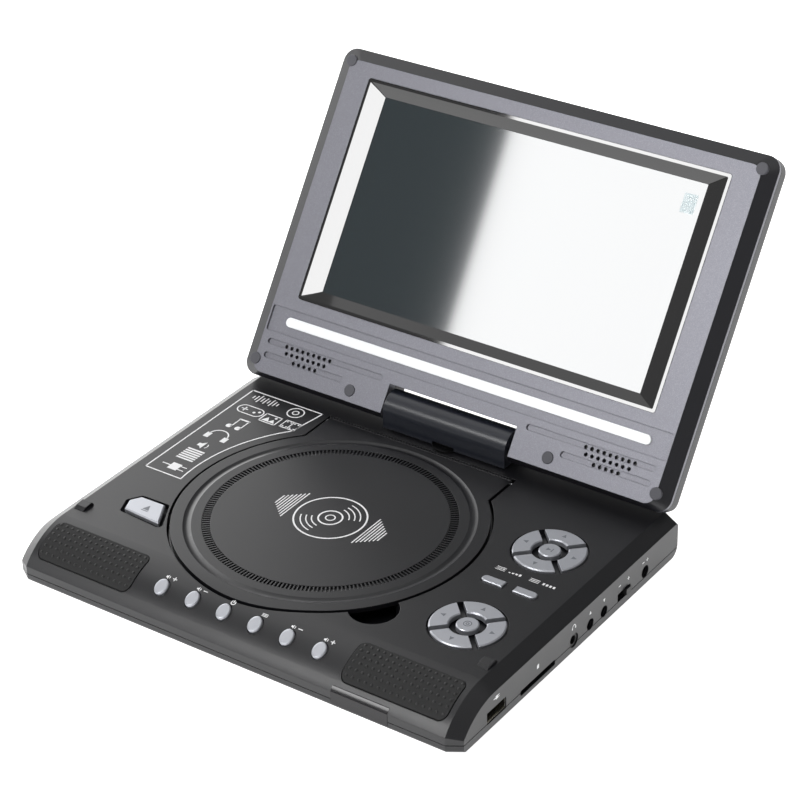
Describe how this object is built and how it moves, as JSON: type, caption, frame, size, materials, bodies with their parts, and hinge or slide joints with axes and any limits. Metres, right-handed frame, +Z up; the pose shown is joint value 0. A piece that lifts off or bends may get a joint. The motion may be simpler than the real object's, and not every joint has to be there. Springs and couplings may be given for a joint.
{
  "type": "portable disc player",
  "caption": "Portable disc player with a flat base, a round-fronted disc lid, silver buttons and a wide screen that tilts and swivels on a central hinge block.",
  "frame": {"origin": "centre of the base's footprint, on the surface that its feet stand on", "axes": "+X to the player's right, +Y to its back, +Z up"},
  "size_m": [0.2089, 0.2347, 0.1414],
  "materials": {
    "casing_top": "satin fine texture",
    "casing_bottom": "satin",
    "lid": "satin",
    "rubber": "matte",
    "grip_rubber": "matte, dimpled",
    "screen_dot": "matte",
    "window": "gloss, dark tint",
    "silver": "satin silver paint",
    "white_strip": "gloss white",
    "bezel": "satin metallic grey",
    "back_cover": "satin",
    "frame_gloss": "piano black",
    "lcd": "dark glass over the panel",
    "hinge_plastic": "satin",
    "steel": "brushed",
    "zinc": "pressed and plated",
    "black_steel": "black lacquer on steel",
    "board": "solder mask",
    "black_plastic": "moulded",
    "socket_metal": "nickel plated",
    "battery": "sleeved cells",
    "white_plastic": "moulded",
    "knob": "moulded"
  },
  "bodies": {
    "base": {"base_top_shell": "casing_top", "base_bottom_shell": "casing_bottom", "rubber_feet": "rubber", "base_screws": "steel", "ir_window": "window", "grip_pads": "grip_rubber", "closing_bumpers": "casing_top", "main_board": "board", "button_boards": "board", "battery_pack": "battery", "usb_socket": "socket_metal", "card_socket": "socket_metal", "audio_video_jacks": "black_plastic", "dc_jack": "black_plastic", "power_switch": "black_plastic", "loader_deck": "zinc", "guide_rails": "steel", "loader_screws": "steel", "spindle_motor": "zinc", "feed_motor": "zinc"},
    "lid": {"disc_lid": "lid", "lid_hinge_pins": "steel"},
    "latch": {"lid_latch": "white_plastic"},
    "turntable": {"turntable": "black_plastic"},
    "pickup_sled": {"pickup_sled": "black_plastic"},
    "feed_screw": {"feed_screw": "steel"},
    "hinge_block": {"hinge_cover": "hinge_plastic", "swivel_bracket": "black_steel", "tilt_shaft": "steel", "swivel_clip": "steel"},
    "screen": {"screen_bezel": "bezel", "screen_back_cover": "back_cover", "screen_frame": "frame_gloss", "lcd_panel": "lcd", "trim_strip": "white_strip", "display_board": "board", "screen_speakers": "black_plastic", "screen_dots": "screen_dot", "screen_screws": "steel", "hinge_arms": "steel"},
    "front_key_1": {"front_key_1": "silver"},
    "front_key_2": {"front_key_2": "silver"},
    "front_key_3": {"front_key_3": "silver"},
    "front_key_4": {"front_key_4": "silver"},
    "front_key_5": {"front_key_5": "silver"},
    "front_key_6": {"front_key_6": "silver"},
    "rear_pad_right": {"rear_pad_right": "silver"},
    "rear_pad_back": {"rear_pad_back": "silver"},
    "rear_pad_left": {"rear_pad_left": "silver"},
    "rear_pad_front": {"rear_pad_front": "silver"},
    "front_pad_right": {"front_pad_right": "silver"},
    "front_pad_back": {"front_pad_back": "silver"},
    "front_pad_left": {"front_pad_left": "silver"},
    "front_pad_front": {"front_pad_front": "silver"},
    "rear_pad_centre": {"rear_pad_centre": "silver"},
    "front_pad_centre": {"front_pad_centre": "silver"},
    "setup_button": {"setup_button": "silver"},
    "menu_button": {"menu_button": "silver"},
    "open_button": {"open_button": "silver"},
    "power_slider": {"power_slider": "knob"}
  },
  "joints": [
    {"name": "lid_hinge", "type": "hinge", "parent": "base", "child": "lid", "pos_m": [-0.0084, 0.0619, 0.0177], "axis": [-1, 0, 0], "range_deg": [0, 60]},
    {"name": "screen_swivel", "type": "hinge", "parent": "base", "child": "hinge_block", "pos_m": [0, 0.0705, 0.0199], "axis": [0, 0, 1], "range_deg": [-180, 0]},
    {"name": "screen_tilt", "type": "hinge", "parent": "hinge_block", "child": "screen", "pos_m": [0, 0.0746, 0.0266], "axis": [-1, 0, 0], "range_deg": [-125, 55]},
    {"name": "disc_spin", "type": "hinge", "parent": "base", "child": "turntable", "pos_m": [-0.0084, 0.0017, 0.0122], "axis": [0, 0, 1], "continuous": true},
    {"name": "sled_slide", "type": "slide", "parent": "base", "child": "pickup_sled", "axis": [1, 0, 0], "range_m": [0, 0.033]},
    {"name": "feed_screw_turn", "type": "hinge", "parent": "base", "child": "feed_screw", "pos_m": [0.0216, -0.0163, 0.0054], "axis": [1, 0, 0], "range_deg": [0, 2380]},
    {"name": "front_key_1_press", "type": "slide", "parent": "base", "child": "front_key_1", "axis": [0, 0.4747, -0.8801], "range_m": [0, 0.0008], "stiffness_N_per_m": 400},
    {"name": "front_key_2_press", "type": "slide", "parent": "base", "child": "front_key_2", "axis": [0, 0.4747, -0.8801], "range_m": [0, 0.0008], "stiffness_N_per_m": 400},
    {"name": "front_key_3_press", "type": "slide", "parent": "base", "child": "front_key_3", "axis": [0, 0.4747, -0.8801], "range_m": [0, 0.0008], "stiffness_N_per_m": 400},
    {"name": "front_key_4_press", "type": "slide", "parent": "base", "child": "front_key_4", "axis": [0, 0.4747, -0.8801], "range_m": [0, 0.0008], "stiffness_N_per_m": 400},
    {"name": "front_key_5_press", "type": "slide", "parent": "base", "child": "front_key_5", "axis": [0, 0.4747, -0.8801], "range_m": [0, 0.0008], "stiffness_N_per_m": 400},
    {"name": "front_key_6_press", "type": "slide", "parent": "base", "child": "front_key_6", "axis": [0, 0.4747, -0.8801], "range_m": [0, 0.0008], "stiffness_N_per_m": 400},
    {"name": "rear_pad_right_press", "type": "slide", "parent": "base", "child": "rear_pad_right", "axis": [0, 0, -1], "range_m": [0, 0.0008], "stiffness_N_per_m": 400},
    {"name": "rear_pad_back_press", "type": "slide", "parent": "base", "child": "rear_pad_back", "axis": [0, 0, -1], "range_m": [0, 0.0008], "stiffness_N_per_m": 400},
    {"name": "rear_pad_left_press", "type": "slide", "parent": "base", "child": "rear_pad_left", "axis": [0, 0, -1], "range_m": [0, 0.0008], "stiffness_N_per_m": 400},
    {"name": "rear_pad_front_press", "type": "slide", "parent": "base", "child": "rear_pad_front", "axis": [0, 0, -1], "range_m": [0, 0.0008], "stiffness_N_per_m": 400},
    {"name": "front_pad_right_press", "type": "slide", "parent": "base", "child": "front_pad_right", "axis": [0, 0, -1], "range_m": [0, 0.0008], "stiffness_N_per_m": 400},
    {"name": "front_pad_back_press", "type": "slide", "parent": "base", "child": "front_pad_back", "axis": [0, 0, -1], "range_m": [0, 0.0008], "stiffness_N_per_m": 400},
    {"name": "front_pad_left_press", "type": "slide", "parent": "base", "child": "front_pad_left", "axis": [0, 0, -1], "range_m": [0, 0.0008], "stiffness_N_per_m": 400},
    {"name": "front_pad_front_press", "type": "slide", "parent": "base", "child": "front_pad_front", "axis": [0, 0, -1], "range_m": [0, 0.0008], "stiffness_N_per_m": 400},
    {"name": "rear_pad_centre_press", "type": "slide", "parent": "base", "child": "rear_pad_centre", "axis": [0, 0, -1], "range_m": [0, 0.0008], "stiffness_N_per_m": 400},
    {"name": "front_pad_centre_press", "type": "slide", "parent": "base", "child": "front_pad_centre", "axis": [0, 0, -1], "range_m": [0, 0.0008], "stiffness_N_per_m": 400},
    {"name": "setup_button_press", "type": "slide", "parent": "base", "child": "setup_button", "axis": [0, 0, -1], "range_m": [0, 0.0008], "stiffness_N_per_m": 400},
    {"name": "menu_button_press", "type": "slide", "parent": "base", "child": "menu_button", "axis": [0, 0, -1], "range_m": [0, 0.0008], "stiffness_N_per_m": 400},
    {"name": "open_button_press", "type": "slide", "parent": "base", "child": "open_button", "axis": [0, 0, -1], "range_m": [0, 0.0012], "stiffness_N_per_m": 500},
    {"name": "latch_slide", "type": "slide", "parent": "base", "child": "latch", "axis": [-0.8832, -0.469, 0], "range_m": [0, 0.0015]},
    {"name": "power_slide", "type": "slide", "parent": "base", "child": "power_slider", "axis": [0, -1, 0], "range_m": [0, 0.0045]}
  ],
  "couplings": [
    {"joint": "feed_screw_turn", "follows": "sled_slide", "rad_per_m": 1256.6},
    {"joint": "latch_slide", "follows": "open_button_press", "ratio": 1.25}
  ]
}
